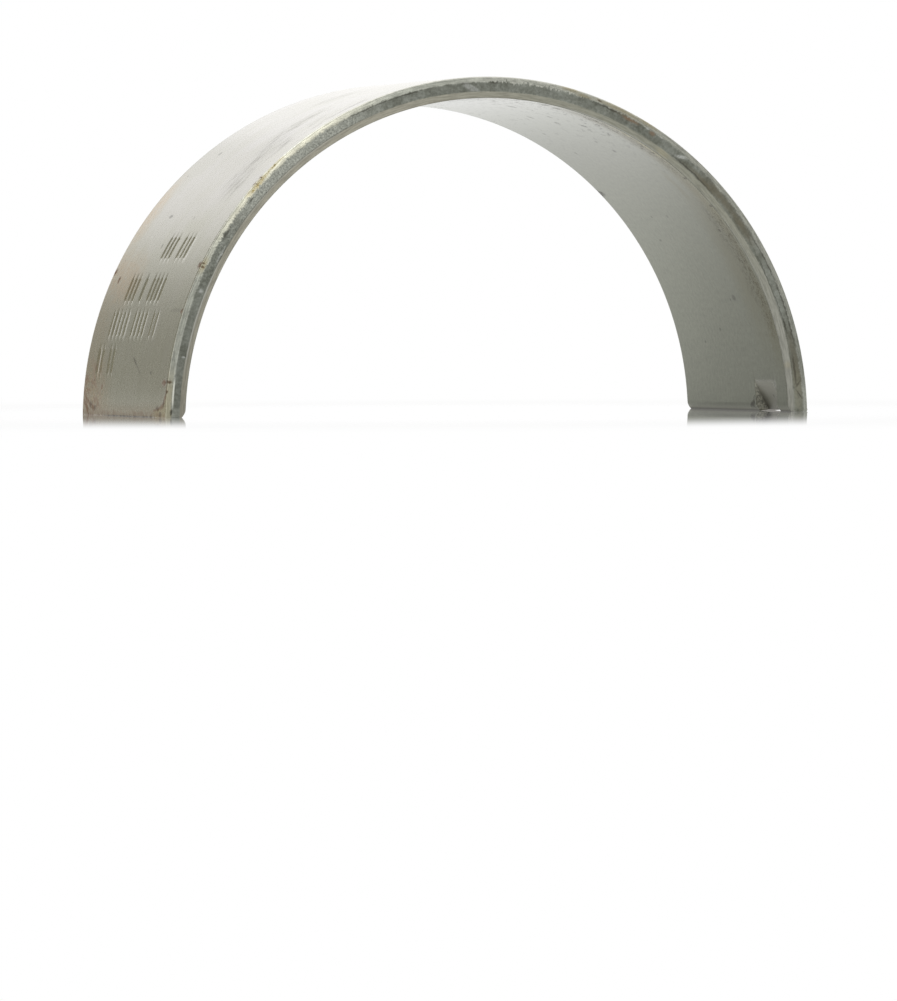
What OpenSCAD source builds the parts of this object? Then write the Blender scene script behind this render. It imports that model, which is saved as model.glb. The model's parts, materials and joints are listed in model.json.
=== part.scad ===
// Half shell of a split engine bearing, as it lies free of its housing.
// The bore axis runs along Y through the origin, at the middle of the width.
// The crown points to +Z, and the leg with the locating lug is on the +X side.
// All sizes are in millimetres.

/* [Shell] */
// Diameter over the back of the free shell
back_d = 51.8; // [44:0.1:60]
// Thickness of the wall
wall = 1.6; // [1.3:0.05:2.4]
// Width along the bore axis, between the two side faces
width = 19.7; // [14:0.1:30]
// Height of the parting faces above the bore axis, left by the free spread
parting_z = 0.6; // [0.2:0.05:1.2]

/* [Edge chamfers] */
// Chamfer on the back's edges, across the wall
back_chamfer_r = 0.4; // [0.1:0.05:0.5]
// Chamfer on the back's edges, along the bore axis
back_chamfer_y = 0.1; // [0.05:0.05:0.5]
// Chamfer on the bore's edges, across the wall
bore_chamfer_r = 0.5; // [0.1:0.05:0.6]
// Chamfer on the bore's edges, along the bore axis
bore_chamfer_y = 0.15; // [0.05:0.05:0.6]

/* [Parting faces] */
// Break on the bore side of each parting face, across the wall
parting_break_x = 0.3; // [0.1:0.05:0.5]
// Break on the bore side of each parting face, up the leg
parting_break_z = 0.4; // [0.1:0.05:0.8]

/* [Locating lug] */
// Width of the lug along the bore axis
lug_width = 3.8; // [3:0.1:5]
// Distance from the front side face to the lug
lug_inset = 2.3; // [1.5:0.1:6]
// Height of the lug's ramp up the leg
lug_ramp = 2.2; // [1.5:0.1:3.5]
// Reach of the lug past the back
lug_reach = 1.0; // [0.6:0.05:1.4]
// Depth of the recess that the punch leaves in the bore
recess_depth = 1.05; // [0.6:0.05:1.2]
// Setback of the lug from the parting face
lug_setback = 0.1; // [0.05:0.05:0.3]

/* [Hidden] */
$fn = 180;

back_r = back_d / 2;
bore_r = back_r - wall;
half_w = width / 2;
lug_front_y = lug_inset - half_w;
lug_foot_z = parting_z + lug_setback;
lug_top_z = parting_z + lug_ramp;
steel_grey = [0.62, 0.61, 0.57];
// How far a cutting or joining shape runs past the surface that it meets
past = 0.5;

// Distance of a round surface from the middle plane, at a height above the axis
function x_on(radius, z) = sqrt(radius * radius - z * z);

// Distance from the middle plane of a straight ramp through two points, at a height
function x_on_ramp(low, high, z) = low.x + (high.x - low.x) * (z - low.y) / (high.y - low.y);

// Section of the wall, with its distance from the axis along X
module wall_section() {
    polygon([
        [bore_r, half_w - bore_chamfer_y],
        [bore_r + bore_chamfer_r, half_w],
        [back_r - back_chamfer_r, half_w],
        [back_r, half_w - back_chamfer_y],
        [back_r, back_chamfer_y - half_w],
        [back_r - back_chamfer_r, -half_w],
        [bore_r + bore_chamfer_r, -half_w],
        [bore_r, bore_chamfer_y - half_w]
    ]);
}

// A profile drawn in X and Z, drawn out along Y from a start
module bar_along_y(start, length) {
    translate([0, start + length, 0])
        rotate([90, 0, 0])
            linear_extrude(length)
                children();
}

// The bent strip, a half ring cut off at the parting plane
module half_ring() {
    intersection() {
        rotate([90, 0, 0])
            rotate_extrude()
                wall_section();
        translate([-back_r - past, -half_w - past, parting_z])
            cube([back_d + 2 * past, width + 2 * past, back_r + past]);
    }
}

// Metal pushed out past the back, as a ramp that stands highest at the foot
module lug_ramp_out() {
    low = [back_r + lug_reach, lug_foot_z];
    high = [x_on(back_r, lug_top_z), lug_top_z];
    root_x = high.x - wall / 2;
    root_z = lug_top_z + past;
    bar_along_y(lug_front_y, lug_width)
        polygon([
            [root_x, lug_foot_z],
            low,
            [x_on_ramp(low, high, root_z), root_z],
            [root_x, root_z]
        ]);
}

// Cutter for the bore side of the +X leg, which leaves a ramp through two points
module bore_ramp_cut(low, high, start, length) {
    floor_z = parting_z - past;
    open_z = high.y + past;
    open_x = x_on(bore_r, open_z) - 2 * past;
    bar_along_y(start, length)
        polygon([
            [open_x, floor_z],
            [x_on_ramp(low, high, floor_z), floor_z],
            [x_on_ramp(low, high, open_z), open_z],
            [open_x, open_z]
        ]);
}

// Hollow that the punch leaves in the bore behind the lug, deepest at the foot
module lug_recess() {
    low = [bore_r + recess_depth, parting_z];
    high = [x_on(bore_r, lug_top_z), lug_top_z];
    bore_ramp_cut(low, high, lug_front_y, lug_width);
}

// The foot of the lug stands back from the parting face
module lug_setback_cut() {
    bar_along_y(lug_front_y, lug_width)
        polygon([
            [bore_r - past, parting_z - past],
            [back_r + lug_reach + past, parting_z - past],
            [back_r + lug_reach + past, lug_foot_z],
            [bore_r - past, lug_foot_z]
        ]);
}

// Bevel along the bore side of the parting face on the +X leg
module parting_break() {
    high_z = parting_z + parting_break_z;
    low = [x_on(bore_r, parting_z) + parting_break_x, parting_z];
    high = [x_on(bore_r, high_z), high_z];
    bore_ramp_cut(low, high, -half_w - past, width + 2 * past);
}

module bearing_shell() {
    color(steel_grey)
        difference() {
            union() {
                half_ring();
                lug_ramp_out();
            }
            lug_recess();
            lug_setback_cut();
            parting_break();
            mirror([1, 0, 0])
                parting_break();
        }
}

bearing_shell();
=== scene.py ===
"""Looks of a half shell of an engine bearing: its mesh, its finishes, the studio round it and the camera.

The shell stands on its two parting faces with its crown up. Its bore axis runs along Y, its front side
face looks to -Y, and the leg with the locating lug is on the +X side. Places on the shell are given as
an angle round the bore axis, from 0 at the left foot over 90 at the crown to 180 at the right foot, and
as a distance from the front side face. Sizes are in millimetres until a mesh or a light is made.
"""

import json
import math

import bmesh
import bpy
import numpy as np
from mathutils import Euler, Matrix, Vector


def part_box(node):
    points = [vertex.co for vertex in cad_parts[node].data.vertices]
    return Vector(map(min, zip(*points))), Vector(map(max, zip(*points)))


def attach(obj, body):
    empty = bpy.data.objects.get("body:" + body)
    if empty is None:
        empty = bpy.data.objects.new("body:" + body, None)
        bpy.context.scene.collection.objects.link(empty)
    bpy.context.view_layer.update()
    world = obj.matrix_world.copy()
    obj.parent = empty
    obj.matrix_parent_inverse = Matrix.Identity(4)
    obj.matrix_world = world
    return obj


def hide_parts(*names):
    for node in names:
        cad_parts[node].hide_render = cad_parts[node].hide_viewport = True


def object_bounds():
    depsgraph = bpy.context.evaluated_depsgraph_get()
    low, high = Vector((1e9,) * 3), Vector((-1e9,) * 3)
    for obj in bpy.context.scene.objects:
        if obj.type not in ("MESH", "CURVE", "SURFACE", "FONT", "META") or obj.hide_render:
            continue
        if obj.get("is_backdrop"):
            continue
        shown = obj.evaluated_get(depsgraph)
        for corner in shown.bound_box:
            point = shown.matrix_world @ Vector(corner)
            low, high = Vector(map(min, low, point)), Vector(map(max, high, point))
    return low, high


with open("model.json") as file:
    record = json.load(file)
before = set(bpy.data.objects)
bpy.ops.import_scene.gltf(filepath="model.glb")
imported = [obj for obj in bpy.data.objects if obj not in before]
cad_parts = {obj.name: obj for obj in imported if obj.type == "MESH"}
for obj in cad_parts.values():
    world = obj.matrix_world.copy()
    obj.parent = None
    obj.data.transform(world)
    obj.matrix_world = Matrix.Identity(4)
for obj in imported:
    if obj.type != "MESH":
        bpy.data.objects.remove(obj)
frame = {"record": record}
cad_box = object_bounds()

MM = 0.001

# Sizes of the shell that the frame gives
box_low, box_high = (np.array(corner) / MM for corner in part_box("bearing_shell"))
mounts = {mount["name"]: mount for mount in frame["record"]["mounts"]}
BACK_R = box_high[2]
BORE_R = mounts["crankpin_bore"]["dims"]["r_mm"]
HALF_W = box_high[1]
PARTING_Z = box_low[2]
FOOT_ANGLE = math.degrees(math.asin(PARTING_Z / BACK_R))
LUG_TIP_X = box_high[0]
LUG_MID_Y = mounts["locating_lug"]["pos_m"][1] / MM
LUG_FOOT_Z = mounts["locating_lug"]["pos_m"][2] / MM

# Sizes of its edges and its lug. A chamfer is (depth into the wall, width along Y), and the bevel along
# the bore side of the parting faces is (width, height)
BACK_CHAMFER = (0.4, 0.1)
BORE_CHAMFER = (0.5, 0.15)
PARTING_BREAK = (0.3, 0.4)
BACK_ROUND = 0.14
FACE_ROUND = 0.5
BORE_ROUND = 0.1
FOOT_ROUND = 0.05
BREAK_ROUND = 0.12
LUG_WIDTH = 3.8
LUG_RAMP = 2.2
LUG_SIDE_SOFT = 0.03
RECESS_DEPTH = 1.05
RECESS_ROUND = 0.18
RECESS_FRONT_SOFT = 0.1

# Stamped rows of plain bars: angle of the row's middle, place of its first bar from the front face,
# and how many bars stand side by side in each group of the row
BAR_LENGTH = 1.9
BAR_WIDTH = 0.34
BAR_PITCH = 0.85
BAR_DEPTH = 0.035
BAR_WALL = 0.1
BAR_ROWS = (
    (10.5, 13.4, (2, 2)),
    (16.8, 5.5, (2, 4, 5)),
    (22.9, 6.6, (4, 1, 3)),
    (30.6, 4.9, (3, 3)),
)

# Grid of the mesh: its widest steps, the lines that hold its edges, and the points on rounded corners
ACROSS_STEP = 0.45
ROUND_STEP = 0.55
SIDE_MARGIN = 0.6
SIDE_LINE = 0.12
LUG_SIDE_LINES = (-0.25, -0.1, -0.03, 0.03, 0.1, 0.25)
FOOT_LINES = (FOOT_ROUND, 0.1, 0.16, 0.24, 0.32, PARTING_BREAK[1], 0.5, 0.65)
RAMP_LINES = tuple(np.linspace(0.5, LUG_RAMP + 0.4, 16))
BACK_ROUND_POINTS = 9
FACE_ROUND_POINTS = 4
BORE_ROUND_POINTS = 5

# How far above the bevel and the lug their rounding may reach, and the angle from which an edge is sharp
BREAK_MARGIN = 0.3
LUG_MARGIN = 0.5
SHARP_ANGLE = 35

# Numbers of the finishes on the mesh
ON_BACK, ON_BORE, ON_SIDE, ON_PARTING = range(4)


def x_on(radius, z):
    """Distance of a round surface from the middle plane, at a height above the axis."""
    return np.sqrt(radius**2 - z**2)


def ramp_x(low, high, z):
    """Distance from the middle plane of a straight ramp through two (x, z) points, at a height."""
    return low[0] + (high[0] - low[0]) * (z - low[1]) / (high[1] - low[1])


def soft_max(a, b, blend):
    """The larger of two values, with the corner between them rounded off."""
    gap = np.clip(0.5 + 0.5 * (a - b) / blend, 0.0, 1.0)
    return b + (a - b) * gap + blend * gap * (1.0 - gap)


def fillet(before, corner, after, radius, steps):
    """Points of an arc that rounds off the corner of a path through three points."""
    before, corner, after = (np.array(point, float) for point in (before, corner, after))
    inward = (before - corner) / np.linalg.norm(before - corner)
    outward = (after - corner) / np.linalg.norm(after - corner)
    half_angle = math.acos(np.clip(inward @ outward, -1.0, 1.0)) / 2
    reach = radius / math.tan(half_angle)
    middle = inward + outward
    centre = corner + middle / np.linalg.norm(middle) * radius / math.sin(half_angle)
    start = corner + inward * reach - centre
    end = corner + outward * reach - centre
    sweep = math.acos(np.clip(start @ end / radius**2, -1.0, 1.0))
    turns = np.linspace(0.0, 1.0, steps)
    return [
        centre + (start * math.sin((1 - t) * sweep) + end * math.sin(t * sweep)) / math.sin(sweep)
        for t in turns
    ]


def filled(stops, step):
    """Sorted stops, with the gaps between them filled evenly to at most a step."""
    stops = sorted(set(np.round(stops, 5)))
    line = [stops[0]]
    for start, end in zip(stops, stops[1:]):
        count = max(1, math.ceil((end - start) / step))
        line.extend(start + (end - start) * k / count for k in range(1, count + 1))
    return np.array(line)


def bar_places():
    """Each stamped bar as (angle of its middle, distance from the front face)."""
    for row_angle, first, groups in BAR_ROWS:
        place = first
        for count in groups:
            for _ in range(count):
                yield row_angle, place
                place += BAR_PITCH
            place += BAR_PITCH


def edge_points(side):
    """The section of one side edge from the back to the bore, as (distance from the axis, y) points."""
    back = (BACK_R, side * (HALF_W - BACK_CHAMFER[1]))
    back_face = (BACK_R - BACK_CHAMFER[0], side * HALF_W)
    bore_face = (BORE_R + BORE_CHAMFER[0], side * HALF_W)
    bore = (BORE_R, side * (HALF_W - BORE_CHAMFER[1]))
    return (
        fillet((BACK_R, 0), back, back_face, BACK_ROUND, BACK_ROUND_POINTS)
        + fillet(back, back_face, bore_face, FACE_ROUND, FACE_ROUND_POINTS)
        + fillet(back_face, bore_face, bore, FACE_ROUND, FACE_ROUND_POINTS)
        + fillet(bore_face, bore, (BORE_R, 0), BORE_ROUND, BORE_ROUND_POINTS)
    )


def across_lines():
    """Places along Y of the grid lines that run round the back and the bore."""
    lug_sides = [LUG_MID_Y + side * LUG_WIDTH / 2 for side in (-1, 1)]
    stops = [side + gap for side in lug_sides for gap in LUG_SIDE_LINES]
    for _, place in bar_places():
        for reach in (BAR_WIDTH / 2, BAR_WIDTH / 2 - BAR_WALL):
            stops += [place - HALF_W + side * reach for side in (-1, 1)]
    reach = HALF_W - SIDE_MARGIN
    return filled([-reach, reach] + stops, ACROSS_STEP)


def back_angle(height):
    """Angle on the back of the left leg, at a height above the parting faces."""
    return math.degrees(math.asin((PARTING_Z + height) / BACK_R))


def round_lines():
    """Angles of the grid lines that cross the back, from the left foot to the right foot."""
    stops = [FOOT_ANGLE, 180 - FOOT_ANGLE]
    stops += [back_angle(height) for height in FOOT_LINES]
    stops += [180 - back_angle(height) for height in FOOT_LINES + RAMP_LINES]
    for angle, _, _ in BAR_ROWS:
        for reach in (BAR_LENGTH / 2, BAR_LENGTH / 2 - BAR_WALL):
            stops += [angle + side * math.degrees(reach / BACK_R) for side in (-1, 1)]
    return filled(stops, math.degrees(ROUND_STEP / BACK_R))


def stamped(angle, place):
    """How deep the stamped bars go, at angles and distances from the front face."""
    depth = np.zeros(np.broadcast(angle, place).shape)
    for bar_angle, bar_place in bar_places():
        along = BAR_LENGTH / 2 - np.abs(angle - bar_angle) * math.radians(BACK_R)
        across = BAR_WIDTH / 2 - np.abs(place - bar_place)
        inside = np.clip(np.minimum(along, across) / BAR_WALL, 0.0, 1.0)
        depth = np.maximum(depth, BAR_DEPTH * inside)
    return depth


def lug_share(y, front_soft, rear_soft):
    """1 within the width of the lug and 0 beside it, with a wall of its own at each side."""
    front = LUG_MID_Y - LUG_WIDTH / 2
    rear = LUG_MID_Y + LUG_WIDTH / 2
    rise = np.clip((y - front) / (2 * front_soft) + 0.5, 0.0, 1.0)
    fall = np.clip((rear - y) / (2 * rear_soft) + 0.5, 0.0, 1.0)
    return np.minimum(rise, fall)


def shell_mesh():
    """The shell as one closed mesh, with a material number for each of its four finishes."""
    lines = across_lines()
    front, rear = edge_points(-1), edge_points(1)
    support = np.array([-SIDE_LINE, 0.0])
    back_y = np.concatenate([front[0][1] - support[::-1], lines, rear[0][1] + support])
    bore_y = np.concatenate([front[-1][1] - support[::-1], lines, rear[-1][1] + support])
    across = len(back_y)
    edge = len(front)

    # One loop round the section: the back to the rear, down the rear edge, the bore to the front, up
    rear_edge, front_edge = rear[1:-1], front[::-1][1:-1]
    rho = np.concatenate([
        np.full(across, BACK_R), [p[0] for p in rear_edge],
        np.full(across, BORE_R), [p[0] for p in front_edge],
    ])
    y = np.concatenate([
        back_y, [p[1] for p in rear_edge], bore_y[::-1], [p[1] for p in front_edge],
    ])
    loop = len(rho)
    on_back = np.arange(loop) < across
    on_bore = (np.arange(loop) >= across + edge - 2) & (np.arange(loop) < 2 * across + edge - 2)

    # Each grid line across the back crosses the other surfaces at the same share of their own arc
    angles = round_lines()
    share = (angles - 90) / (90 - FOOT_ANGLE)
    turn = share[:, None] * (math.pi / 2 - np.arcsin(PARTING_Z / rho))[None, :]
    stamp = np.where(on_back[None, :], stamped(angles[:, None], y[None, :] + HALF_W), 0.0)
    x = (rho[None, :] - stamp) * np.sin(turn)
    z = (rho[None, :] - stamp) * np.cos(turn)
    y = np.repeat(y[None, :], len(angles), 0)

    # Bevel along the bore side of both parting faces
    break_top = PARTING_Z + PARTING_BREAK[1]
    break_low = (x_on(BORE_R, PARTING_Z) + PARTING_BREAK[0], PARTING_Z)
    bevel = ramp_x(break_low, (x_on(BORE_R, break_top), break_top), z)
    by_the_foot = ~on_back[None, :] & (z < break_top + BREAK_MARGIN)
    x = np.where(by_the_foot, np.sign(x) * soft_max(np.abs(x), bevel, BREAK_ROUND), x)

    # Locating lug, pushed out of the back, and the hollow behind it
    lug_top = PARTING_Z + LUG_RAMP
    lug_high = (x_on(BACK_R, lug_top), lug_top)
    out_x = ramp_x((LUG_TIP_X, LUG_FOOT_Z), lug_high, np.maximum(z, LUG_FOOT_Z))
    in_x = ramp_x((BORE_R + RECESS_DEPTH, PARTING_Z), (x_on(BORE_R, lug_top), lug_top), z)
    near_lug = (x > 0) & (z < lug_top + LUG_MARGIN)
    pushed = np.where(near_lug & on_back[None, :], np.maximum(out_x - x, 0.0), 0.0)
    pressed = np.where(near_lug & on_bore[None, :], soft_max(in_x, x, RECESS_ROUND) - x, 0.0)
    in_lug = lug_share(y, LUG_SIDE_SOFT, LUG_SIDE_SOFT)
    x = x + pushed * in_lug + pressed * lug_share(y, RECESS_FRONT_SOFT, LUG_SIDE_SOFT)
    lifted = in_lug * (x > 0)
    z = np.maximum(z, PARTING_Z + (LUG_FOOT_Z - PARTING_Z) * lifted)

    # The last line of each leg is drawn in a little, to round the edge of the parting face
    on_side = ~(on_back | on_bore)
    for end in (0, -1):
        x[end, on_back] -= np.sign(x[end, on_back]) * FOOT_ROUND
        y[end, on_side] -= np.sign(y[end, on_side]) * FOOT_ROUND

    points = np.stack([x, y, z], -1).reshape(-1, 3)
    step = np.arange(len(angles) - 1)[:, None] * loop
    here = np.arange(loop)[None, :]
    after = (here + 1) % loop
    walls = np.stack([step + here, step + loop + here, step + loop + after, step + after], -1)
    all_back = on_back & np.roll(on_back, -1)
    all_bore = on_bore & np.roll(on_bore, -1)
    kind = np.where(all_back, ON_BACK, np.where(all_bore, ON_BORE, ON_SIDE))
    faces = [tuple(face) for face in walls.reshape(-1, 4).tolist()]
    numbers = np.repeat(kind[None, :], len(step), 0).reshape(-1).tolist()

    depths = np.array([(BACK_R - p[0]) / (BACK_R - BORE_R) for p in front[1:-1]])
    for end in (0, len(angles) - 1):
        points, grid = parting_grid(points, end * loop, loop, across, depths)
        for face in grid_faces(grid):
            faces.append(face)
            numbers.append(ON_PARTING)
    return points, faces, numbers


def parting_grid(points, first, loop, across, depths):
    """Points across the wall at one end of the shell, and the grid of point numbers over that face.

    Each back line is joined to its bore line by a row of new points, at shares of the wall's depth.
    """
    rows = len(depths)
    back_ids = first + np.arange(across)
    bore_ids = first + 2 * across + rows - 1 - np.arange(across)
    share = depths[:, None, None]
    inner = points[back_ids] * (1 - share) + points[bore_ids] * share
    inner_ids = len(points) + np.arange(rows * across).reshape(rows, across)
    ids = np.concatenate([back_ids[None, :], inner_ids, bore_ids[None, :]])
    front_ids = np.concatenate([back_ids[:1], first + loop - 1 - np.arange(rows), bore_ids[:1]])
    rear_ids = np.concatenate([back_ids[-1:], first + across + np.arange(rows), bore_ids[-1:]])
    grid = np.concatenate([front_ids[:, None], ids, rear_ids[:, None]], 1)
    return np.concatenate([points, inner.reshape(-1, 3)]), grid


def grid_faces(grid):
    """Faces between the points of a grid of numbers, with repeated points left out."""
    for upper, lower in zip(grid, grid[1:]):
        for k in range(len(upper) - 1):
            corners = (upper[k], upper[k + 1], lower[k + 1], lower[k])
            face = tuple(dict.fromkeys(int(corner) for corner in corners))
            if len(face) > 2:
                yield face


def make_shell(finishes):
    """The shell's object, with its four finishes."""
    points, faces, numbers = shell_mesh()
    mesh = bpy.data.meshes.new("bearing_shell_body")
    mesh.from_pydata((points * MM).tolist(), [], faces)
    for finish in finishes:
        mesh.materials.append(finish)
    mesh.polygons.foreach_set("material_index", numbers)
    edit = bmesh.new()
    edit.from_mesh(mesh)
    bmesh.ops.recalc_face_normals(edit, faces=edit.faces)
    edit.to_mesh(mesh)
    edit.free()
    mesh.shade_smooth()
    mesh.set_sharp_from_angle(angle=math.radians(SHARP_ANGLE))
    shell = bpy.data.objects.new("bearing_shell_body", mesh)
    bpy.context.collection.objects.link(shell)
    return shell


class Value:
    """A number that varies over a surface. Its arithmetic adds Math nodes."""

    def __init__(self, maker, socket):
        self.maker = maker
        self.socket = socket

    def calculate(self, operation, first, second=0.0, clamp=False):
        settings = {"operation": operation, "use_clamp": clamp}
        return self.maker.node("ShaderNodeMath", settings, {0: first, 1: second})

    def __add__(self, other):
        return self.calculate("ADD", self, other)

    def __sub__(self, other):
        return self.calculate("SUBTRACT", self, other)

    def __rsub__(self, other):
        return self.calculate("SUBTRACT", other, self)

    def __mul__(self, other):
        return self.calculate("MULTIPLY", self, other)

    def __truediv__(self, other):
        return self.calculate("DIVIDE", self, other)

    def __rtruediv__(self, other):
        return self.calculate("DIVIDE", other, self)

    def __pow__(self, other):
        return self.calculate("POWER", self, other)

    def __rpow__(self, other):
        return self.calculate("POWER", other, self)

    def __abs__(self):
        return self.calculate("ABSOLUTE", self)

    __radd__ = __add__
    __rmul__ = __mul__

    def larger(self, other):
        return self.calculate("MAXIMUM", self, other)

    def clamped(self):
        return self.calculate("ADD", self, 0.0, clamp=True)

    def rise(self, start, end):
        """0 up to a start, 1 from an end, and a smooth step between them."""
        settings = {"interpolation_type": "SMOOTHSTEP"}
        inputs = {"Value": self, "From Min": start, "From Max": end}
        return self.maker.node("ShaderNodeMapRange", settings, inputs)

    def fall(self, start, end):
        """1 up to a start, 0 from an end, and a smooth step between them."""
        return 1.0 - self.rise(start, end)

    def band(self, start, end, soft):
        """1 between two limits, with soft borders."""
        return self.rise(start - soft, start + soft) * self.fall(end - soft, end + soft)


class NodeMaker:
    """Adds nodes to one node tree and links them."""

    def __init__(self, tree):
        self.tree = tree
        tree.nodes.clear()

    def node(self, kind, settings=None, inputs=None, output=0):
        """A node of a kind: its settings first, then its sockets. Returns one output."""
        node = self.tree.nodes.new(kind)
        for name, setting in (settings or {}).items():
            setattr(node, name, setting)
        for name, given in (inputs or {}).items():
            self.feed(node.inputs[name], given)
        return Value(self, node.outputs[output]) if len(node.outputs) else node

    def feed(self, socket, given):
        if isinstance(given, Value):
            self.tree.links.new(given.socket, socket)
        else:
            socket.default_value = given

    def vector(self, x, y, z=0.0):
        return self.node("ShaderNodeCombineXYZ", None, {"X": x, "Y": y, "Z": z})

    def vector_math(self, operation, first, second, output=0):
        return self.node("ShaderNodeVectorMath", {"operation": operation}, {0: first, 1: second}, output)

    def blend(self, share, under, over):
        """A colour that goes from one to another as the share goes from 0 to 1."""
        settings = {"data_type": "RGBA", "blend_type": "MIX"}
        return self.node("ShaderNodeMix", settings, {0: share, 6: under, 7: over}, 2)

    def shade(self, colour, factor):
        """A colour made lighter or darker by a factor that varies."""
        settings = {"data_type": "RGBA", "blend_type": "MULTIPLY"}
        grey = self.node("ShaderNodeCombineColor", None, {0: factor, 1: factor, 2: factor})
        return self.node("ShaderNodeMix", settings, {0: 1.0, 6: colour, 7: grey}, 2)

    def noise(self, place, scale, detail=3.0, roughness=0.55):
        inputs = {"Vector": place, "Scale": scale, "Detail": detail, "Roughness": roughness}
        return self.node("ShaderNodeTexNoise", None, inputs)

    def mix_shaders(self, share, under, over):
        return self.node("ShaderNodeMixShader", None, {0: share, 1: under, 2: over})


class Finish(NodeMaker):
    """A material of the shell, with the places on it that its patterns need."""

    def __init__(self, name):
        self.material = bpy.data.materials.new(name)
        self.material.use_nodes = True
        super().__init__(self.material.node_tree)
        position = self.node("ShaderNodeTexCoord", None, None, "Object")
        axes = self.node("ShaderNodeSeparateXYZ", None, {0: position}).socket.node.outputs
        x, y, z = (Value(self, axis) / MM for axis in axes)
        radius = (x * x + z * z) ** 0.5
        self.angle = x.calculate("ARCTAN2", z, x * -1.0) * math.degrees(1)
        self.arc = self.angle * math.radians(BACK_R)
        self.from_front = y + HALF_W
        self.depth = BACK_R - radius
        self.height = z - PARTING_Z
        self.place = self.vector(self.arc, self.from_front, self.depth)

    def frayed(self, place, scale, reach):
        """Places shifted about by noise, so that the borders of spots on them come out ragged."""
        shift = self.node("ShaderNodeTexNoise", None, {"Vector": place, "Scale": scale}, "Color")
        centred = self.vector_math("SUBTRACT", shift, (0.5, 0.5, 0.5))
        scaled = self.vector_math("MULTIPLY", centred, (2 * reach,) * 3)
        return self.vector_math("ADD", place, scaled)

    def spot(self, place, angle, across, length, width, soft=0.5):
        """A soft-edged spot at an angle, with a length round the shell and a width across it."""
        centre = (math.radians(angle) * BACK_R, across, 0.0)
        offset = self.vector_math("SUBTRACT", place, centre)
        scaled = self.vector_math("MULTIPLY", offset, (2 / length, 2 / width, 0.0))
        distance = self.node("ShaderNodeVectorMath", {"operation": "LENGTH"}, {0: scaled}, "Value")
        return distance.fall(1 - soft, 1 + soft)

    def spots(self, place, spots, soft=0.5):
        """Several spots as one mask."""
        mask = self.spot(place, *spots[0], soft)
        for spot in spots[1:]:
            mask = mask.larger(self.spot(place, *spot, soft))
        return mask

    def specks(self, place, spacing, size, share):
        """Small specks: one in some of the cells that fill the surface."""
        inputs = {"Vector": place, "Scale": 1 / spacing}
        cell = self.node("ShaderNodeTexVoronoi", {"feature": "F1"}, inputs).socket.node.outputs
        chance = self.node("ShaderNodeSeparateColor", None, {0: Value(self, cell["Color"])})
        limit = chance.rise(1 - share, 1.0) * (size / spacing / 2)
        return (limit - Value(self, cell["Distance"])).rise(0.0, 0.2 * size / spacing)

    def surface(self, colour, roughness, metallic, height, depth):
        """The metal's shader. The height, from 0 to 1, is worked into the surface to a depth."""
        bump = self.node("ShaderNodeBump", None, {"Height": height, "Distance": depth * MM})
        inputs = {
            "Base Color": colour,
            "Roughness": roughness,
            "Metallic": metallic,
            "Normal": bump,
        }
        metal = self.node("ShaderNodeBsdfPrincipled", None, inputs)
        self.node("ShaderNodeOutputMaterial", None, {"Surface": metal})
        return self.material


def paint(red, green, blue):
    """A colour as it shows on a screen, from 0 to 255, as the linear colour that the shaders take."""
    linear = [((c / 255 + 0.055) / 1.055) ** 2.4 for c in (red, green, blue)]
    return (*linear, 1.0)


STEEL = paint(195, 192, 186)
STEEL_OLIVE = paint(185, 183, 170)
STEEL_TAN = paint(194, 174, 146)
FOOT_TAN = paint(165, 153, 132)
STAMP_PALE = paint(214, 208, 188)
LINING = paint(118, 120, 107)
LINING_OLIVE = paint(116, 113, 90)
LINING_LIP = paint(134, 130, 102)
LINING_YELLOW = paint(150, 140, 84)
LINING_STAIN = paint(80, 75, 54)
RECESS_TORN = paint(182, 181, 170)
RECESS_WALL = paint(206, 205, 190)
SIDE_GREY = paint(146, 149, 141)
SIDE_DARK = paint(106, 108, 98)
SIDE_COOL_AND_SHEEN = paint(178, 180, 171)
SIDE_PALE = paint(204, 206, 202)
EDGE_BRIGHT = paint(246, 247, 236)
EDGE_WORN_AND_LIT = paint(210, 208, 197)
SIDE_BROWN = paint(112, 105, 86)
SIDE_RUSTY = paint(138, 112, 88)
SIDE_OLIVE = paint(152, 151, 134)
CHAMFER_DULL = paint(172, 174, 164)
CHAMFER_PALE = paint(196, 197, 187)
CHAMFER_CREAM = paint(204, 202, 185)
BORE_CHAMFER_GREY = paint(167, 164, 150)
BORE_CHAMFER_OLIVE = paint(151, 151, 138)
BORE_CHAMFER_PALE = paint(160, 160, 151)
RUST = paint(130, 84, 52)
RUST_DARK = paint(86, 62, 38)
TAN = paint(186, 174, 134)
RUST_GOLD = paint(146, 132, 88)
# Dark for dirt, smudges and specks, and also for painted shade at the feet and in the hollow by the lug
DIRT_AND_SHADE = paint(66, 63, 54)


# Spots and marks on the finishes, each as (angle, place across, length round the shell, width across). The
# place across is the distance from the front face on the back and the lining, and the depth on the sides
BACK_BLOOM = ((4, 18.5, 7, 8), (26, 18.6, 3.5, 4), (24.5, 16, 4, 6), (38, 19, 6, 3))
BACK_RUST_SPOTS = (
    (7.0, 0.9, 0.5, 0.9), (27.2, 0.35, 0.5, 0.8), (26.3, 19.3, 0.5, 0.7), (45.0, 0.2, 0.4, 0.4),
    (24.6, 17.6, 0.5, 0.4), (9.3, 17.2, 0.5, 0.4), (6.2, 15.3, 0.4, 0.4), (19.0, 0.4, 0.4, 0.4),
    (43.4, 0.2, 0.3, 0.3), (7.2, 19.0, 1.0, 0.4),
)
BACK_RUST_PITS = (
    (7.2, 0.2, 0.4, 0.5), (5.5, 0.25, 0.5, 0.3), (3.6, 0.65, 0.5, 0.35), (2.8, 2.0, 0.35, 0.6),
    (1.8, 1.3, 0.3, 0.6), (3.1, 17.6, 0.5, 0.5), (2.6, 16.6, 0.4, 0.5),
)
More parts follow.
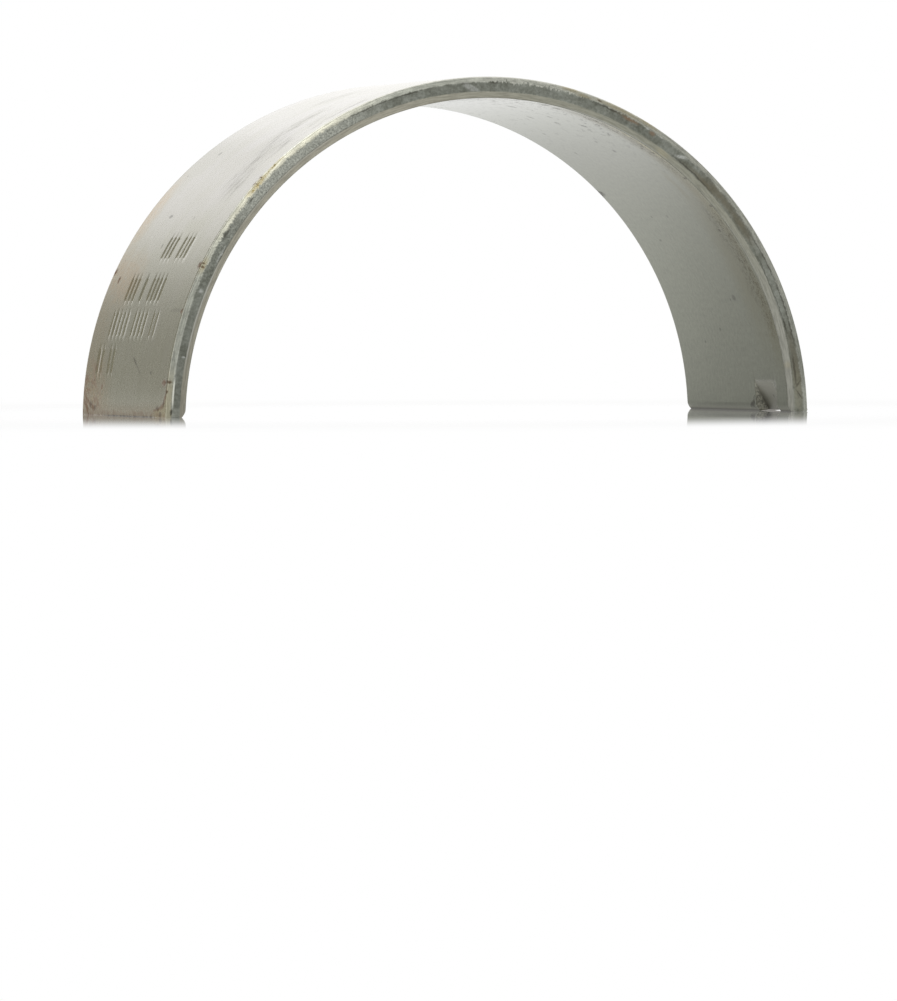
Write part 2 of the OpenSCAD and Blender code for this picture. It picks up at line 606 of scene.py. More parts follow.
BACK_SMUDGES = (
    (49, 5.4, 6, 2.4), (44, 4.0, 3, 1.6), (59, 7.0, 5, 2.2),
    (55, 3.2, 6, 1.2), (62, 1.7, 7, 0.9), (72, 11.5, 3, 2),
)
BACK_SPECKS = ((37, 13.7, 0.35, 0.7), (52, 15.9, 0.4, 0.5), (31, 11.4, 0.4, 0.3), (8.6, 4.2, 0.3, 0.3))
LINING_OLIVE_PATCHES = ((133, 3.4, 4, 1.0), (150, 2.6, 13, 4.0))
LINING_YELLOW_SPOTS = ((122.5, 0.2, 3.4, 1.0), (117, 0.4, 3, 0.6))
LINING_STAINS = ((152.5, 1.3, 7, 2.4), (145, 1.1, 5, 1.5), (159, 1.0, 5, 1.4))
LINING_FAINT_STAINS = ((118, 1.0, 11, 1.7), (144, 2.0, 6, 1.6))
LINING_MARKS = (
    (122.3, 7.3, 0.4, 0.5), (119, 8, 0.3, 0.4), (100.7, 7.2, 0.9, 0.6), (108, 7, 0.6, 0.4),
    (111, 8.4, 0.5, 0.6), (107.6, 10.4, 0.6, 0.4), (138, 0.5, 0.3, 0.6), (143.6, 2.3, 0.3, 0.4),
    (145.4, 14.8, 0.2, 0.4), (163.6, 10.8, 0.3, 0.3), (166, 14.3, 0.2, 0.3), (134, 19, 0.5, 0.9),
    (131, 0.5, 0.3, 0.6), (157.5, 6.2, 0.5, 0.6), (104, 1.5, 0.8, 0.5), (101, 1.2, 1.0, 0.5),
)
RECESS_BURRS = ((177.6, 6.7, 0.8, 0.7), (176.6, 6.5, 0.3, 0.25), (176.2, 6.3, 0.25, 0.2))
SIDE_BROWN_SPOTS = (
    (115.5, 0.44, 2.4, 0.24), (134.5, 0.9, 4, 0.4), (138, 0.7, 4, 0.6),
    (144, 0.75, 3.4, 0.55), (171, 0.7, 5, 0.7),
)
SIDE_RUSTY_SPOTS = ((116.4, 0.53, 1.3, 0.26), (121, 0.56, 0.5, 0.32))
SIDE_FLECKS = (
    (33.8, 0.5, 1.1, 0.2), (34.6, 0.46, 0.5, 0.16), (41, 0.58, 0.5, 0.15), (85, 0.45, 0.5, 0.2),
    (90.5, 0.45, 0.7, 0.2), (75, 0.46, 3, 0.12), (67, 0.46, 4, 0.1), (112, 0.46, 2, 0.16),
    (164.5, 0.47, 2.2, 0.16), (159, 0.46, 4, 0.13), (152, 0.46, 5, 0.1), (163, 0.9, 1.4, 0.1),
    (171.5, 0.85, 2.4, 0.16), (131, 1.04, 4, 0.12),
)
SIDE_NOTCH_LEFT = (175.6, 0.7, 0.2, 0.55)
SIDE_NOTCH_RIGHT = (173.8, 0.7, 0.2, 0.5)
SIDE_SMEARS = (
    (11.6, 0.9, 0.12, 0.25), (23.2, 0.78, 0.3, 0.3), (30.2, 0.95, 1.2, 0.14),
    (119.8, 0.42, 0.35, 0.2), (122.8, 0.4, 0.4, 0.15),
)
SIDE_SMEAR_LEFT = (127.7, 0.66, 0.5, 0.55)
SIDE_SMEAR_RIGHT = (86, 0.8, 0.8, 0.7)
CHAMFER_TAN_SPOTS = (
    (27.3, 0.15, 1.2, 0.4), (43.7, 0.14, 1.2, 0.4), (45.5, 0.1, 0.8, 0.3), (104.4, 0.12, 1.4, 0.3),
    (107, 0.3, 1.2, 0.3), (119.5, 0.1, 1.8, 0.4), (114, 0.2, 4, 0.3), (41.6, 0.14, 0.7, 0.3),
    (47.6, 0.07, 1.0, 0.2), (49.4, 0.05, 0.7, 0.2),
)
CHAMFER_RUST_SPOTS = (
    (7.2, 0.1, 0.25, 0.4), (27.0, 0.15, 0.16, 0.3), (27.6, 0.12, 0.12, 0.25), (5.5, 0.0, 0.2, 0.16),
    (43.6, 0.1, 0.12, 0.18), (44.9, 0.05, 0.14, 0.12), (110, 0.2, 0.3, 0.15),
)
CHAMFER_GOLD_SPOTS = (
    (42.3, 0.24, 0.3, 0.2), (43.6, 0.18, 0.9, 0.3), (45.0, 0.15, 0.6, 0.26), (46.4, 0.1, 0.3, 0.16),
    (47.8, 0.08, 0.4, 0.14),
)
BORE_CHAMFER_TAN_SPOTS = ((124.5, 1.3, 1.2, 0.5), (170.3, 1.3, 0.5, 0.6))


def back_finish():
    """Satin steel of the back, with fine lines round it, smudges, a tan bloom at the rear and some rust."""
    f = Finish("back_steel")
    ragged = f.frayed(f.place, 0.9, 0.7)
    fine_ragged = f.frayed(f.place, 2.5, 0.16)
    brush = f.noise(f.vector(f.arc * 0.07, f.from_front), 1.8, 5.0, 0.65)
    cloud = f.noise(f.vector(f.arc * 0.6, f.from_front), 0.25, 3.0)
    grain = f.noise(f.place, 2.6, 3.0, 0.6)
    patchy = grain.rise(0.38, 0.62)
    olive = (f.angle.fall(26, 46) * 0.8 + 0.6 * cloud.rise(0.35, 0.65)).clamped()
    colour = f.blend(olive, STEEL, STEEL_OLIVE)
    # Painted highlight: the back is lighter near the front edge between 48 and 62 degrees
    painted_shine = f.from_front.fall(2.0, 4.6) * f.angle.band(48, 62, 3)
    colour = f.shade(colour, 0.87 + 0.18 * brush + 0.08 * grain + 0.11 * painted_shine)

    # The floors of the stamped bars are paler than the back
    bar_floor = f.depth.rise(0.008, 0.03) * f.depth.fall(0.04, 0.06)
    colour = f.blend(bar_floor * 0.55, colour, STAMP_PALE)

    # Tan bloom along the rear edge and along the foot
    bloom = f.from_front.rise(13.5, 19.0) * f.angle.fall(22, 36) * 0.45
    bloom = bloom.larger(f.spots(ragged, BACK_BLOOM, 0.7) * 0.8)
    colour = f.blend(bloom * (0.5 + 0.5 * patchy), colour, STEEL_TAN)
    foot_tan = f.height.fall(0.2, 1.3) * (0.6 + 0.4 * patchy)
    colour = f.blend(foot_tan * 0.9, colour, FOOT_TAN)

    # Rust creeps in from the foot, in a broken curve round its front corner and in streaks at its rear
    shift = f.node("ShaderNodeSeparateXYZ", None, {0: fine_ragged}).socket.node.outputs
    ragged_height = Value(f, shift["X"]) - math.radians(FOOT_ANGLE) * BACK_R
    corner = (Value(f, shift["Y"]) + 0.1) * (ragged_height - 0.3)
    corner_reach = f.height.fall(2.4, 3.6) * f.from_front.fall(2.0, 3.6)
    broken = f.noise(f.place, 1.6, 3.0, 0.6).rise(0.4, 0.62)
    along = f.arc + f.from_front
    aside = f.arc - f.from_front * 0.9
    streaks = f.noise(f.vector(aside, along * 0.25), 1.7, 4.0, 0.65)
    cream = corner.fall(0.3, 0.8) * corner_reach
    curve = corner.band(0.38, 0.8, 0.22) * corner_reach * (0.6 + 0.4 * broken)
    foot_line = f.height.fall(0.15, 0.55) * (0.1 + 0.4 * broken)
    rear_corner = f.spot(ragged, 3.2, 18.4, 5, 5, 0.7) * streaks.rise(0.46, 0.58)
    rear_streaks = f.from_front.rise(12.5, 17.0) * f.angle.fall(9, 18) * streaks.rise(0.54, 0.64) * 0.35
    edge_line = f.from_front.fall(0.25, 0.5) * f.angle.fall(44, 52) * streaks.rise(0.58, 0.66) * 0.6
    rust = curve.larger(foot_line).larger(rear_corner).larger(rear_streaks)
    rust = rust.larger(f.spots(fine_ragged, BACK_RUST_SPOTS, 0.5)).larger(edge_line)
    rust = rust * (0.6 + 0.4 * patchy)
    colour = f.blend(cream * 0.6, colour, TAN)
    colour = f.blend(rust * 0.8, colour, RUST)
    pits = f.specks(f.place, 0.55, 0.3, 0.6) * rust.rise(0.15, 0.4)
    pits = pits.larger(f.spots(fine_ragged, BACK_RUST_PITS, 0.6))
    colour = f.blend(pits * 0.65, colour, RUST_DARK)

    # Grey smudges, a few dark specks, a scratch, dark lines at the rear edge, and a painted contact shadow
    # under the foot
    smudge = f.spots(ragged, BACK_SMUDGES, 0.8)
    smudge = smudge * f.noise(f.vector(f.arc * 0.3, f.from_front), 1.6, 5.0, 0.7).rise(0.4, 0.7)
    speck = f.specks(f.frayed(f.place, 4.0, 0.15), 1.5, 0.35, 0.2)
    speck = speck.larger(f.spots(f.place, BACK_SPECKS, 0.4))
    scratch_line = abs(f.from_front - 7.5 - (f.arc - 4.3) * 1.65).fall(0.08, 0.3)
    scratch = scratch_line * f.arc.band(3.7, 5.0, 0.2) * (0.4 + 0.6 * f.arc.rise(4.2, 4.8))
    faint = f.spot(f.place, 19.2, 1.6, 0.3, 2.6) * 0.2
    rear_line = f.from_front.rise(19.2, 19.5) * f.angle.band(34, 74, 6) * 0.3
    dull = (smudge * 0.45).larger(scratch * 0.55).larger(faint).larger(rear_line)
    # Painted contact shadow: a broken dark line where the foot meets the floor
    painted_contact_shadow = f.height.fall(0.02, 0.1) * f.from_front.band(3, 14, 1.5) * (0.3 + 0.7 * broken)
    colour = f.blend(dull.larger(speck * 0.55).larger(painted_contact_shadow), colour, DIRT_AND_SHADE)

    roughness = 0.17 + 0.1 * brush + 0.08 * grain + 0.1 * smudge + 0.3 * rust
    return f.surface(colour, roughness, 1.0 - 0.6 * rust, brush + 0.25 * grain, 0.004)


def recess_metal(f, grain, to_wall):
    """Torn metal in the hollow behind the lug: a ramp with painted shade, darker low down and towards a
    speckled rear wall.
    """
    # Painted shade: the ramp is darker low down
    ramp = f.shade(RECESS_TORN, 0.8 + 0.2 * grain + 0.2 * f.height.rise(0.6, 1.9))
    # Painted shade in the corner where the ramp meets the rear wall
    corner = to_wall.fall(0.0, 1.5) * f.height.fall(0.4, 2.2)
    ramp = f.blend(corner * 0.7, ramp, DIRT_AND_SHADE)
    speckled = f.noise(f.vector(f.depth, f.height), 5.0, 3.0, 0.7).rise(0.4, 0.6)
    wall = f.shade(RECESS_WALL, 0.5 + 0.5 * speckled)
    return f.blend(to_wall.fall(0.01, 0.05), ramp, wall)


def lining_finish():
    """Satin lining of the bore, with a painted sheen at the crown, painted shade towards the right foot,
    pits, an olive front edge and brown stains.
    """
    f = Finish("bore_lining")
    ragged = f.frayed(f.place, 1.2, 0.7)
    brush = f.noise(f.vector(f.arc, f.from_front * 0.12), 1.8, 5.0, 0.65)
    cloud = f.noise(f.place, 0.2, 3.0)
    grain = f.noise(f.vector(f.arc * 0.8, f.from_front), 3.0, 4.0, 0.7)
    dots = f.noise(f.place, 3.0, 3.0, 0.7).rise(0.44, 0.62)
    # Painted light: a sheen brightens the crown, and painted shade darkens the lining towards the right foot
    painted_sheen_and_shade = f.angle.band(70, 110, 14) * 0.45 - f.angle.rise(150, 171) * 0.07
    edge_line = f.from_front.fall(0.3, 0.7) * f.angle.band(104, 158, 8)
    bright = 0.65 + 0.25 * brush + 0.7 * grain + 0.08 * cloud + painted_sheen_and_shade + 0.3 * edge_line
    colour = f.shade(LINING, bright)

    # Olive along the front edge, with turned lines and yellow in it, and brown dots nearer to the foot
    edge_band = (f.from_front + (grain - 0.5) * 2.0).fall(0.8, 3.0) * f.angle.band(104, 168, 7)
    olive = edge_band * (0.75 + 0.25 * dots) * (1.0 - 0.6 * edge_line)
    olive = olive.larger(f.spots(ragged, LINING_OLIVE_PATCHES, 0.7) * 0.55)
    olive = olive.larger(f.height.fall(0.1, 0.4) * 0.4)
    colour = f.blend(olive, colour, LINING_OLIVE)
    lines = f.noise(f.vector(f.arc * 0.08, f.from_front), 3.5, 4.0, 0.65).rise(0.35, 0.65)
    lip = f.from_front.fall(0.7, 2.4) * f.angle.band(104, 146, 7) * (0.35 + 0.65 * lines)
    colour = f.blend(lip * 0.7, colour, LINING_LIP)
    colour = f.blend(f.spots(ragged, LINING_YELLOW_SPOTS, 0.7) * 0.5, colour, LINING_YELLOW)
    stain = f.spots(ragged, LINING_STAINS, 0.6)
    stain = stain.larger(f.spots(ragged, LINING_FAINT_STAINS, 0.6) * 0.8)
    stain = stain * (0.2 + 0.8 * dots) * (1.0 - 0.8 * edge_line)
    colour = f.blend(stain * 0.55, colour, LINING_STAIN)

    # The hollow behind the lug is torn and paler, with burrs along its rear wall
    to_wall = LUG_MID_Y + LUG_WIDTH / 2 + HALF_W - f.from_front
    pressed = f.depth.fall(1.55, 1.595) * f.angle.rise(170, 172) * f.height.rise(0.02, 0.2)
    pressed = pressed * to_wall.rise(-0.1, -0.04) * to_wall.fall(LUG_WIDTH - 0.6, LUG_WIDTH)
    colour = f.blend(pressed, colour, recess_metal(f, grain, to_wall))
    burr = f.spots(ragged, RECESS_BURRS, 0.5)

    # Specks, pits near the crown, single marks, a nick in the rear edge, and painted shade along the foot
    # where it meets the floor
    speck = f.specks(f.vector(f.arc * 0.8, f.from_front), 1.3, 0.35, 0.4) * 0.45
    pits = f.noise(f.place, 1.3, 4.0, 0.75).rise(0.54, 0.7)
    pits = pits * f.angle.fall(112, 136) * (0.3 + 0.6 * f.from_front.fall(3, 10))
    pits = pits * (1.0 - 0.7 * f.from_front.fall(0.8, 2.2) * f.angle.rise(100, 108))
    nick = f.spot(ragged, 134, 19.2, 0.7, 0.9, 0.4)
    speck = speck.larger(pits).larger(f.spots(f.place, LINING_MARKS, 0.5) * 0.45)
    speck = speck.larger(burr.larger(nick) * 0.7)
    # Painted contact shade along the foot
    foot = f.height.fall(0.02, 0.2) * 0.7
    colour = f.blend(speck.larger(foot), colour, DIRT_AND_SHADE)

    roughness = 0.09 + 0.04 * brush + 0.04 * grain + 0.08 * edge_band + 0.15 * stain + 0.3 * speck
    roughness = roughness.larger(pressed * 0.42)
    metallic = 1.0 - 0.7 * pressed - 0.4 * pits - 0.15 * lip
    relief = 0.4 * brush + 0.4 * grain - pits
    return f.surface(colour, roughness, metallic, relief, 0.005)


class SideEdges(Finish):
    """The material of the side edges, with the patterns that their face and their two chamfers share."""

    def __init__(self):
        super().__init__("side_edges")
        self.edge = self.vector(self.arc, self.depth)
        self.ragged = self.leaning(0.0)
        self.teeth = self.noise(self.vector(self.arc * 5.0, self.depth * 1.4), 1.0, 4.0, 0.7)
        self.mottle = self.noise(self.edge, 4.0, 4.0, 0.7)
        self.blotch = self.noise(self.vector(self.arc, self.depth * 1.2), 1.3, 3.0, 0.6)
        self.turned = self.noise(self.vector(self.arc * 0.1, self.depth), 9.0, 3.0).rise(0.36, 0.64)
        self.speckle = self.noise(self.edge, 7.0, 3.0, 0.7) - 0.5
        self.pocked = self.angle.band(26, 68, 6) * self.speckle

    def leaning(self, lean):
        """Ragged places along an edge. Spots on them lean round the shell as they go deeper."""
        arc = self.arc + (self.depth - 0.7) * lean if lean else self.arc
        return self.frayed(self.vector(arc, self.depth), 2.5, 0.12)


def side_face(f):
    """The dull, blotched face, with cool stretches that carry a painted sheen, brown and dark stretches, a
    worn patch and pale smears.
    """
    leaning_left = f.leaning(1.6)
    leaning_right = f.leaning(-1.15)
    patch = f.noise(f.vector(f.arc, f.depth * 0.5), 0.4, 2.0)
    mixed = 0.4 * patch.rise(0.35, 0.65) + 0.4 * f.blotch.rise(0.35, 0.65)
    mixed = mixed + 0.2 * f.mottle.rise(0.35, 0.65)
    face = f.blend(mixed, SIDE_DARK, SIDE_GREY)
    # Cool tint, made paler between 36 and 66 degrees as a painted sheen
    cool_tint_and_sheen = f.angle.band(36, 66, 8) * 0.85
    cool_tint_and_sheen = cool_tint_and_sheen.larger(f.angle.fall(2.4, 3.4) * 0.5)
    face = f.blend(cool_tint_and_sheen * (0.4 + f.blotch), face, SIDE_COOL_AND_SHEEN)
    face = f.shade(face, 0.42 + 0.95 * f.mottle + 0.24 * f.teeth + 2.4 * f.pocked)
    brown = f.spots(f.ragged, SIDE_BROWN_SPOTS, 0.8)
    face = f.blend(brown * (0.2 + 0.8 * f.blotch), face, SIDE_BROWN)
    face = f.blend(f.spots(f.ragged, SIDE_RUSTY_SPOTS, 0.7) * 0.6, face, SIDE_RUSTY)
    foot_pale = f.spot(f.ragged, 175.6, 0.75, 3.4, 0.8, 0.6) * f.blotch.rise(0.3, 0.6)
    face = f.blend(foot_pale * 0.6, face, SIDE_OLIVE)

    # A long worn patch near the right foot, with a dark line round it
    worn = f.spot(f.ragged, 155.5, 0.68, 8.6, 0.5, 0.12)
    worn_line = f.spot(f.ragged, 155.5, 0.68, 9.1, 0.6, 0.14) - worn
    face = f.blend(worn * 0.12, face, SIDE_COOL_AND_SHEEN)

    # Dark flecks, stretches and notches
    dark_stretch = f.angle.band(166, 172, 2) * 0.35 + f.angle.band(7, 14, 2) * 0.25
    notch = f.spot(leaning_left, *SIDE_NOTCH_LEFT, 0.6)
    notch = notch.larger(f.spot(leaning_right, *SIDE_NOTCH_RIGHT, 0.6))
    dark = f.spots(f.ragged, SIDE_FLECKS, 0.6)
    dark = dark.larger(worn_line * 1.2 * f.blotch.rise(0.3, 0.55))
    dark = dark.larger(dark_stretch * f.blotch).larger(notch * 0.8)
    face = f.blend(dark * 0.6, face, DIRT_AND_SHADE)

    # Pale smears, some of them leaning
    smears = f.spots(f.ragged, SIDE_SMEARS, 0.6)
    smears = smears.larger(f.spot(leaning_left, *SIDE_SMEAR_LEFT, 0.5))
    smears = smears.larger(f.spot(leaning_right, *SIDE_SMEAR_RIGHT, 0.5) * 0.8)
    return f.blend(smears * (0.2 + 0.8 * f.teeth.rise(0.3, 0.6)) * 0.7, face, SIDE_PALE)


def back_chamfer(f):
    """The pale chamfer at the back, cream on the left leg, with painted shading across it, a worn edge with
    a painted highlight, tan patches and rust.
    """
    chamfer = f.blend(f.angle.band(86, 158, 8), CHAMFER_DULL, CHAMFER_PALE)
    chamfer = f.blend(f.angle.band(33, 64, 9) * 0.9, chamfer, CHAMFER_CREAM)
    chamfer = f.shade(chamfer, 0.34 + 0.4 * f.teeth + 0.6 * f.mottle + 0.34 * f.turned + f.pocked)
    # Painted shading across the chamfer: lighter by the back edge and darker towards the face, between 40
    # and 72 degrees
    painted_slope_shade = f.angle.band(40, 72, 9) * (0.22 - 0.4 * f.depth.rise(0.1, 0.34))
    chamfer = f.shade(chamfer, 1.0 + painted_slope_shade)
    # The rounded back edge is pale, partly wear and partly a painted highlight, brightest between 38 and 56
    # degrees
    worn_edge_and_highlight = f.blend(f.angle.band(38, 56, 7), EDGE_WORN_AND_LIT, EDGE_BRIGHT)
    broken = 0.3 + 0.7 * f.noise(f.edge, 2.2, 4.0, 0.7).rise(0.42, 0.58)
    chamfer = f.blend(f.depth.fall(0.02, 0.1) * broken, chamfer, worn_edge_and_highlight)
    chamfer = f.blend(f.angle.fall(5, 11) * 0.4, chamfer, TAN)
    chamfer = f.blend(f.spots(f.ragged, CHAMFER_TAN_SPOTS, 0.7) * 0.5, chamfer, TAN)
    gold = f.spots(f.ragged, CHAMFER_GOLD_SPOTS, 0.7)
    chamfer = f.blend(gold * f.speckle.rise(-0.1, 0.06), chamfer, RUST_GOLD)
    chamfer = f.blend(f.spots(f.ragged, CHAMFER_RUST_SPOTS, 0.6) * 0.75, chamfer, RUST_DARK)
    return f.blend(f.spot(f.ragged, 170, 0.2, 3.0, 0.5, 0.7) * 0.25, chamfer, DIRT_AND_SHADE)


def bore_chamfer(f):
    """The olive chamfer at the bore, with turned lines, paler towards the bore on the left leg."""
    chamfer = f.blend(f.angle.rise(60, 120), BORE_CHAMFER_GREY, BORE_CHAMFER_OLIVE)
    chamfer = f.blend(f.angle.rise(138, 172), chamfer, BORE_CHAMFER_PALE)
    to_bore = f.depth.rise(1.25, 1.5) * f.angle.fall(66, 84)
    chamfer = f.shade(chamfer, 0.74 + 0.28 * f.turned + 0.24 * f.mottle + 0.14 * to_bore)
    return f.blend(f.spots(f.ragged, BORE_CHAMFER_TAN_SPOTS, 0.7) * 0.2, chamfer, TAN)


def side_finish():
    """Side edges: a pale chamfer at the back, a dull face with marks across it and an olive bore chamfer."""
    f = SideEdges()

    # The border between the back's chamfer and the face is torn into short teeth
    tear = 0.35 + 0.9 * f.angle.band(91, 106, 3) + 0.4 * f.angle.band(28, 64, 6)
    border = f.depth + (f.teeth - 0.5) * tear + (f.mottle - 0.5) * 0.25 - (f.blotch - 0.5) * 0.25
    outer = border.fall(0.31, 0.49)
    colour = f.blend(outer, side_face(f), back_chamfer(f))

    # By the left foot that border carries a painted highlight, and its corner is dark
    bright = f.depth.band(0.43, 0.54, 0.05) * f.angle.band(3.2, 7.6, 1)
    bright = bright.larger(f.depth.band(0.38, 0.48, 0.05) * 0.3 * f.angle.band(8, 19, 2))
    colour = f.blend(bright * (0.4 + f.mottle), colour, EDGE_BRIGHT)
    corner = f.spot(f.ragged, 2.2, 0.4, 0.5, 0.14, 0.5)
    colour = f.blend(corner * 0.8, colour, DIRT_AND_SHADE)

    # The bore's chamfer has a thin painted highlight and a dark seam along its border, and its lip by the
    # bore is painted pale as painted light
    climb = 0.1 * f.angle.band(149, 168, 5) - 0.05 * f.angle.rise(70, 95)
    inner = (f.depth + (f.mottle - 0.5) * 0.1 + climb).rise(1.03, 1.13)
    colour = f.blend(inner, colour, bore_chamfer(f))
    line = f.depth.band(1.1, 1.19, 0.03) * (f.angle.band(10, 28, 3) * 0.6 + f.angle.band(37, 60, 4) * 0.25)
    colour = f.blend(line, colour, SIDE_PALE)
    lip = f.angle.band(104, 122, 8) * 0.35 + f.angle.band(104, 156, 8) * 0.15
    colour = f.blend(f.depth.rise(1.48, 1.56) * lip, colour, SIDE_PALE)
    seam = f.depth.band(1.03, 1.1, 0.03) * f.angle.band(28, 66, 5)
    colour = f.blend(seam * 0.35, colour, DIRT_AND_SHADE)

    roughness = 0.4 - 0.18 * outer + 0.15 * f.mottle
    height = (f.mottle + 0.2 * f.teeth) * (1.0 - 0.7 * outer)
    return f.surface(colour, roughness, 1.0, height, 0.009)


def parting_finish():
    """Parting faces: cut steel with fine lines along them."""
    f = Finish("parting_faces")
    lines = f.noise(f.vector(f.depth * 6.0, f.from_front * 0.4), 1.5, 4.0, 0.6)
    colour = f.shade(STEEL, 0.75 + 0.3 * lines)
    return f.surface(colour, 0.4 + 0.15 * lines, 1.0, lines, 0.003)


# Floor and surroundings, in metres. Each reach is where an effect on the floor starts to fade and ends
WHITE = (1.0, 1.0, 1.0, 1.0)
SURROUND = 0.5
FLOOR_SIZE = 4.0
FLOOR_GREY = (0.85, 0.85, 0.85, 1.0)
FLOOR_GLOSS = 0.02
SHADOW_REACH = (0.03, 0.09)
SHADOW_SHARE = 0.12
DULL_REACH = (0.022, 0.05)
DULL_SHARE = 0.58
REFLECTION_REACH = (0.028, 0.072)
REFLECTION_IOR = 1.35
REFLECTION_POWER = 2.5
REFLECTION_GAIN = 1.2

# Grey cards on three sides, so that only the back of the studio is white: name, azimuth, width, grey, and
# the two places along the width between which the card goes to white
CARD_DISTANCE = 0.7
CARD_HEIGHT = 0.6
CARDS = (
    ("left_card", -55, 1.5, (0.32, 0.315, 0.26, 1.0), (0.54, 0.7)),
    ("front_card", 175, 1.5, (0.46, 0.46, 0.44, 1.0), None),
    ("right_card", 85, 1.3, (0.45, 0.45, 0.43, 1.0), None),
)

# Soft boxes, one overhead, two low behind for the back and one in front for the edges: name, azimuth,
# elevation, distance, size and glow
SOFT_BOXES = (
    ("top_soft_box", -30, 75, 0.6, (0.5, 0.4), 0.6),
    ("rear_soft_box", 21, 14, 0.65, (0.3, 0.2), 0.45),
    ("rear_left_soft_box", -5, 20, 0.65, (0.2, 0.2), 0.2),
    ("front_soft_box", 175.5, 21, 0.65, (0.3, 0.22), 1.5),
)


def ray_kinds(maker):
    """1 for rays of the camera, and 1 for rays of gloss and of glass."""
    path = maker.node("ShaderNodeLightPath").socket.node.outputs
    names = ("Is Camera Ray", "Is Glossy Ray", "Is Transmission Ray")
    camera, gloss, glass = (Value(maker, path[name]) for name in names)
    return camera, gloss.larger(glass)


def make_world():
    """White all round for what is seen directly or in the metal, and a plain soft light for the rest."""
    world = bpy.data.worlds.new("studio")
    bpy.context.scene.world = world
    world.use_nodes = True
    maker = NodeMaker(world.node_tree)
    soft = maker.node("ShaderNodeBackground", None, {"Color": WHITE, "Strength": SURROUND})
    white = maker.node("ShaderNodeBackground", None, {"Color": WHITE, "Strength": 1.0})
    camera, gloss = ray_kinds(maker)
    mixed = maker.mix_shaders(camera.larger(gloss), soft, white)
    maker.node("ShaderNodeOutputWorld", None, {"Surface": mixed})


def make_floor():
    """A white floor that keeps the shell's shadow and, close in front of it, a faint reflection."""
    material = bpy.data.materials.new("pale_floor")
    material.use_nodes = True
    maker = NodeMaker(material.node_tree)
    matt = maker.node("ShaderNodeBsdfDiffuse", None, {"Color": FLOOR_GREY})
    white = maker.node("ShaderNodeEmission", None, {"Color": WHITE, "Strength": 1.0})
    gloss = maker.node("ShaderNodeBsdfGlossy", None, {"Color": WHITE, "Roughness": FLOOR_GLOSS})
    place = maker.node("ShaderNodeTexCoord", None, None, "Object")
    distance = maker.node("ShaderNodeVectorMath", {"operation": "LENGTH"}, {0: place}, "Value")
    camera_ray, gloss_ray = ray_kinds(maker)
    seen = camera_ray * (1.0 - SHADOW_SHARE * distance.fall(*SHADOW_REACH))
    share = seen + gloss_ray * (1.0 - DULL_SHARE * distance.fall(*DULL_REACH))
    mixed = maker.mix_shaders(share, matt, white)
    fresnel = maker.node("ShaderNodeFresnel", None, {"IOR": REFLECTION_IOR})
    mirrored = (fresnel**REFLECTION_POWER * REFLECTION_GAIN).clamped()
    mirrored = mirrored * distance.fall(*REFLECTION_REACH) * camera_ray
    mixed = maker.mix_shaders(mirrored, mixed, gloss)
    maker.node("ShaderNodeOutputMaterial", None, {"Surface": mixed})
    floor = panel("floor", FLOOR_SIZE, FLOOR_SIZE, material)
    floor.location.z = PARTING_Z * MM


def panel(name, width, height, material):
    """A flat panel of the studio, round its own middle in X and Y."""
    mesh = bpy.data.meshes.new(name)
    corners = [(x * width / 2, y * height / 2, 0) for x, y in ((-1, -1), (1, -1), (1, 1), (-1, 1))]
    mesh.from_pydata(corners, [], [(0, 1, 2, 3)])
    mesh.materials.append(material)
    flat = bpy.data.objects.new(name, mesh)
    bpy.context.collection.objects.link(flat)
    flat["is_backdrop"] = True
    return flat


def make_card(name, azimuth, width, grey, fade):
    """A grey card that stands upright and faces the shell, for the metal to mirror, unseen by the camera.

    Its azimuth is 0 behind the shell and 90 on its right.
    """
    material = bpy.data.materials.new(name)
    material.use_nodes = True
    maker = NodeMaker(material.node_tree)
    colour = grey
    if fade:
        along = maker.node("ShaderNodeTexCoord", None, None, "Object")
        along = maker.node("ShaderNodeSeparateXYZ", None, {0: along}, "X")
        colour = maker.blend(along.rise(*fade), grey, WHITE)
    glow = maker.node("ShaderNodeEmission", None, {"Color": colour, "Strength": 1.0})
    maker.node("ShaderNodeOutputMaterial", None, {"Surface": glow})
    card = panel(name, width, CARD_HEIGHT, material)
    turn = math.radians(azimuth)
    card.location = (CARD_DISTANCE * math.sin(turn), CARD_DISTANCE * math.cos(turn), CARD_HEIGHT / 2)
    card.rotation_euler = (math.pi / 2, 0, -turn)
    card.visible_camera = False


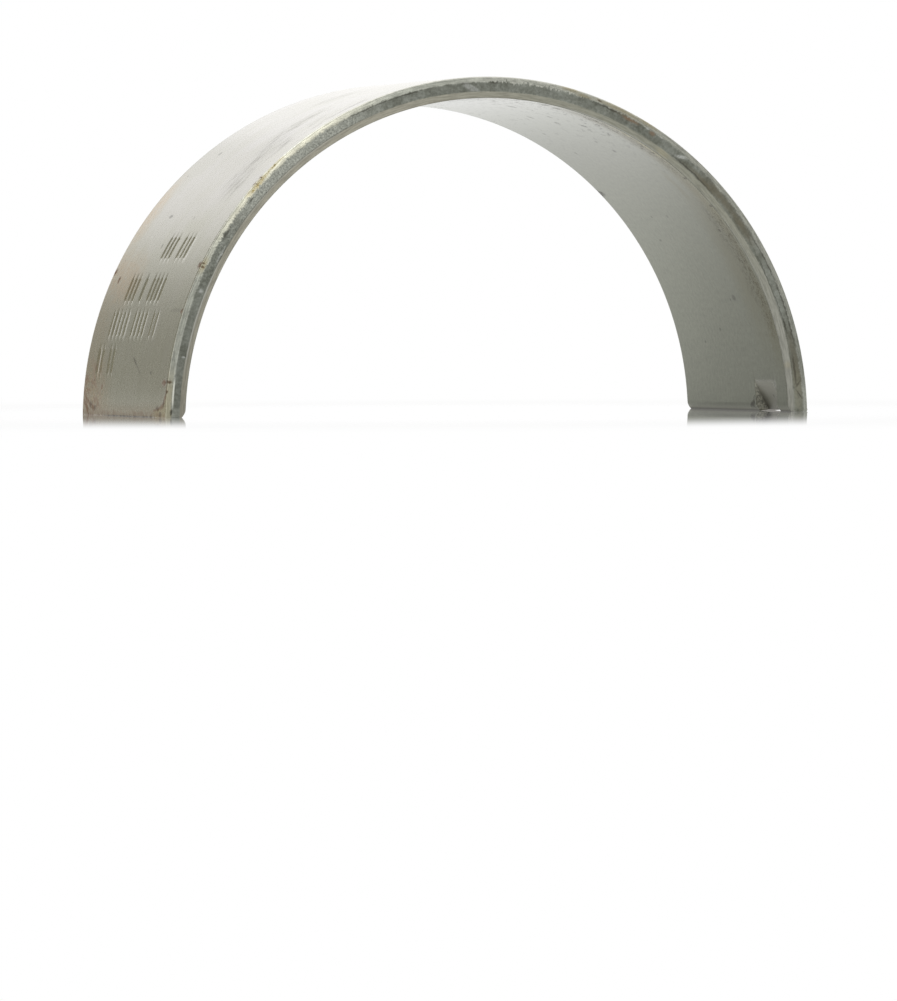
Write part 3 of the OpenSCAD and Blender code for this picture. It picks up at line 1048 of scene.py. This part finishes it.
def make_light(name, azimuth, elevation, distance, size, glow):
    """A soft box that points at the shell. Its glow is how bright its face is, where 1 is white."""
    lamp = bpy.data.lights.new(name, "AREA")
    lamp.shape = "RECTANGLE"
    lamp.size, lamp.size_y = size
    lamp.energy = glow * math.pi * size[0] * size[1]
    light = bpy.data.objects.new(name, lamp)
    turn, rise = math.radians(azimuth), math.radians(elevation)
    away = Vector((math.sin(turn) * math.cos(rise), math.cos(turn) * math.cos(rise), math.sin(rise)))
    light.location = away * distance
    light.rotation_euler = away.to_track_quat("Z", "Y").to_euler()
    light.visible_camera = False
    bpy.context.collection.objects.link(light)


# Camera: its place from the middle of the bore axis, in metres, its turn in degrees and its focal length
# in pixels of a picture 1001 pixels high
CAMERA_PLACE = (-0.18847, -0.48372, 0.00844)
CAMERA_AZIMUTH = 21.312
CAMERA_DOWN = 1.603
CAMERA_ROLL = -0.235
FOCAL_PIXELS = 6806.8
PICTURE_HEIGHT = 1001
SENSOR_WIDTH = 36.0
CLIP_START = 0.01


def make_camera():
    """The camera at the photograph's viewing angle."""
    data = bpy.data.cameras.new("camera")
    data.sensor_width = SENSOR_WIDTH
    data.lens = FOCAL_PIXELS * SENSOR_WIDTH / PICTURE_HEIGHT
    data.clip_start = CLIP_START
    camera = bpy.data.objects.new("camera", data)
    aim = Euler((math.radians(90 - CAMERA_DOWN), 0, -math.radians(CAMERA_AZIMUTH))).to_matrix()
    roll = Matrix.Rotation(math.radians(CAMERA_ROLL), 3, "Z")
    camera.matrix_world = Matrix.Translation(CAMERA_PLACE) @ (aim @ roll).to_4x4()
    bpy.context.collection.objects.link(camera)
    bpy.context.scene.camera = camera


bpy.context.scene.view_settings.view_transform = "Standard"
make_camera()
make_world()
make_floor()
for card in CARDS:
    make_card(*card)
for soft_box in SOFT_BOXES:
    make_light(*soft_box)

shell = make_shell([back_finish(), lining_finish(), side_finish(), parting_finish()])
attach(shell, "root")
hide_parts("bearing_shell")

visual_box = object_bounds()
boxes = {"cad": cad_box, "visual": visual_box}
{name: [list(corner) for corner in box] for name, box in boxes.items()}
